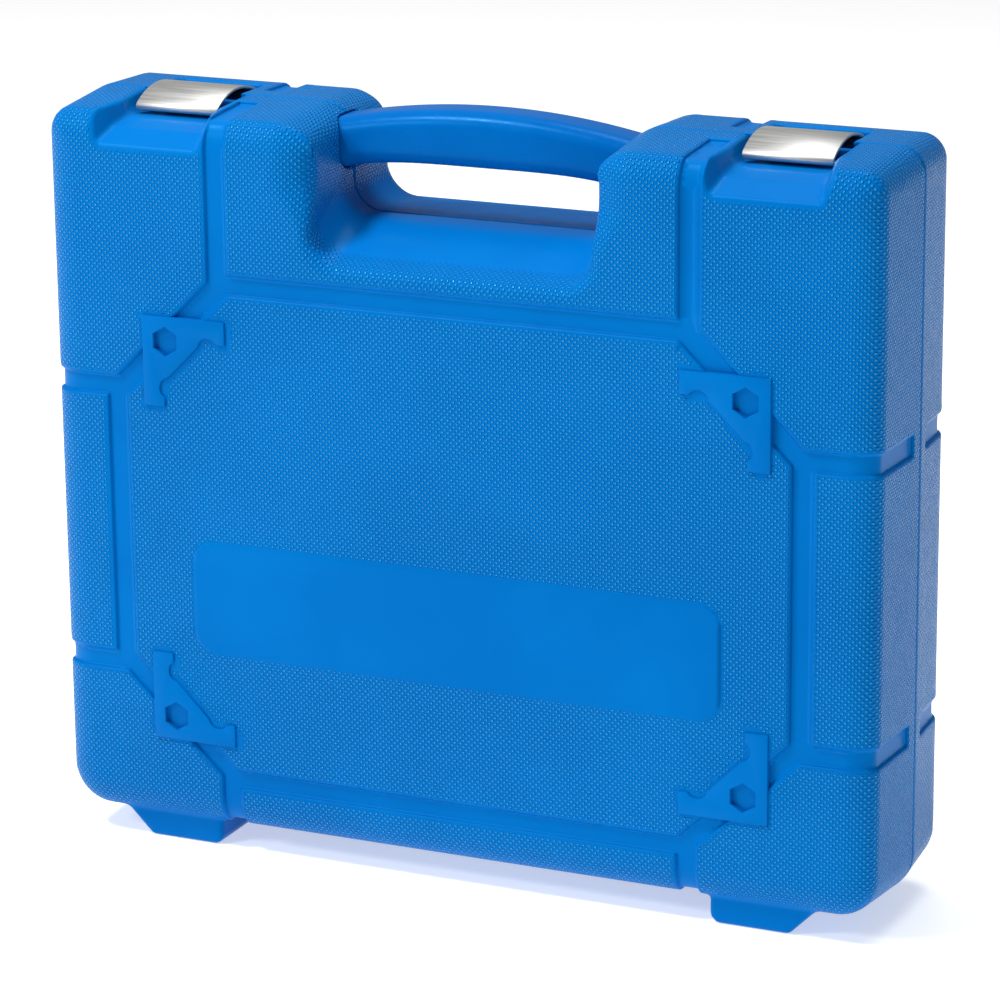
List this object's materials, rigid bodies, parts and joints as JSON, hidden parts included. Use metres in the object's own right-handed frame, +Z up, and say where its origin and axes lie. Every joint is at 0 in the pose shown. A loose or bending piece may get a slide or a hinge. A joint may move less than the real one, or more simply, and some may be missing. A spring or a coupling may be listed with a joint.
{
  "type": "socket wrench set in case",
  "caption": "Moulded carrying case that stands on its feet, with a hinged lid, two steel snap latches and a top handle, holding ratchets, sockets and bars in a tray.",
  "frame": {"origin": "middle of the footprint, on the plane the feet stand on", "axes": "+X to the right seen from the lid, +Y from the lid to the back of the base, +Z up towards the handle"},
  "size_m": [0.401, 0.093, 0.3493],
  "materials": {
    "case_plastic": "fine moulded grain, satin",
    "handle_plastic": "smooth, half gloss",
    "tray_plastic": "fine matt",
    "grip_plastic": "satin",
    "rubber": "matt",
    "latch_steel": "bright plated",
    "dark_steel": "dark oiled",
    "chrome": "polished"
  },
  "bodies": {
    "base": {"base_shell": "case_plastic", "hinge_pin_left": "dark_steel", "hinge_pin_right": "dark_steel", "carry_handle": "handle_plastic", "latch_left_pin": "dark_steel", "latch_right_pin": "dark_steel", "half_inch_ratchet_body": "chrome", "half_inch_ratchet_grip": "grip_plastic", "quarter_inch_ratchet_body": "chrome", "quarter_inch_ratchet_grip": "grip_plastic", "half_inch_extension_long": "chrome", "half_inch_extension_short": "chrome", "quarter_inch_extension": "chrome", "half_inch_socket_10": "chrome", "half_inch_socket_12": "chrome", "half_inch_socket_13": "chrome", "half_inch_socket_14": "chrome", "half_inch_socket_15": "chrome", "half_inch_socket_17": "chrome", "half_inch_socket_19": "chrome", "half_inch_socket_22": "chrome", "half_inch_socket_24": "chrome", "quarter_inch_socket_6": "chrome", "quarter_inch_socket_7": "chrome", "quarter_inch_socket_8": "chrome", "quarter_inch_socket_9": "chrome", "quarter_inch_socket_10": "chrome", "quarter_inch_socket_11": "chrome", "quarter_inch_socket_12": "chrome", "quarter_inch_socket_13": "chrome", "spark_plug_socket": "chrome", "spark_plug_grip_ring": "rubber", "spinner_shank": "chrome", "spinner_grip": "grip_plastic", "t_bar_rod": "chrome", "bit_1": "dark_steel", "bit_2": "dark_steel", "bit_3": "dark_steel", "bit_4": "dark_steel", "bit_5": "dark_steel", "tool_tray": "tray_plastic"},
    "lid": {"lid_shell": "case_plastic", "lid_liner": "tray_plastic"},
    "latch_left": {"latch_left_lever": "latch_steel", "latch_left_claw": "latch_steel"},
    "latch_right": {"latch_right_lever": "latch_steel", "latch_right_claw": "latch_steel"},
    "half_inch_ratchet_lever": {"half_inch_ratchet_lever": "dark_steel"},
    "half_inch_ratchet_button": {"half_inch_ratchet_button": "latch_steel"},
    "half_inch_ratchet_drive": {"half_inch_ratchet_drive": "chrome"},
    "quarter_inch_ratchet_lever": {"quarter_inch_ratchet_lever": "dark_steel"},
    "quarter_inch_ratchet_button": {"quarter_inch_ratchet_button": "latch_steel"},
    "quarter_inch_ratchet_drive": {"quarter_inch_ratchet_drive": "chrome"},
    "t_bar_head": {"t_bar_head": "chrome"}
  },
  "joints": [
    {"name": "lid_hinge", "type": "hinge", "parent": "base", "child": "lid", "pos_m": [0, 0.0025, 0.0055], "axis": [1, 0, 0], "range_deg": [0, 122]},
    {"name": "latch_left_hinge", "type": "hinge", "parent": "base", "child": "latch_left", "pos_m": [-0.1458, 0.0195, 0.3414], "axis": [-1, 0, 0], "range_deg": [0, 100]},
    {"name": "latch_right_hinge", "type": "hinge", "parent": "base", "child": "latch_right", "pos_m": [0.1458, 0.0195, 0.3414], "axis": [-1, 0, 0], "range_deg": [0, 100]},
    {"name": "half_inch_ratchet_reverse", "type": "hinge", "parent": "base", "child": "half_inch_ratchet_lever", "pos_m": [-0.148, 0.0085, 0.25], "axis": [0, 1, 0], "range_deg": [-36, 0]},
    {"name": "half_inch_ratchet_release", "type": "slide", "parent": "base", "child": "half_inch_ratchet_button", "axis": [0, 1, 0], "range_m": [0, 0.0018], "stiffness_N_per_m": 400},
    {"name": "half_inch_ratchet_turn", "type": "hinge", "parent": "base", "child": "half_inch_ratchet_drive", "pos_m": [-0.148, 0.0085, 0.25], "axis": [0, 1, 0], "continuous": true},
    {"name": "quarter_inch_ratchet_reverse", "type": "hinge", "parent": "base", "child": "quarter_inch_ratchet_lever", "pos_m": [-0.156, 0.00703, 0.127], "axis": [0, 1, 0], "range_deg": [-36, 0]},
    {"name": "quarter_inch_ratchet_release", "type": "slide", "parent": "base", "child": "quarter_inch_ratchet_button", "axis": [0, 1, 0], "range_m": [0, 0.0011], "stiffness_N_per_m": 200},
    {"name": "quarter_inch_ratchet_turn", "type": "hinge", "parent": "base", "child": "quarter_inch_ratchet_drive", "pos_m": [-0.156, 0.00703, 0.127], "axis": [0, 1, 0], "continuous": true},
    {"name": "t_bar_slide", "type": "slide", "parent": "base", "child": "t_bar_head", "axis": [1, 0, 0], "range_m": [0, 0.045]}
  ]
}
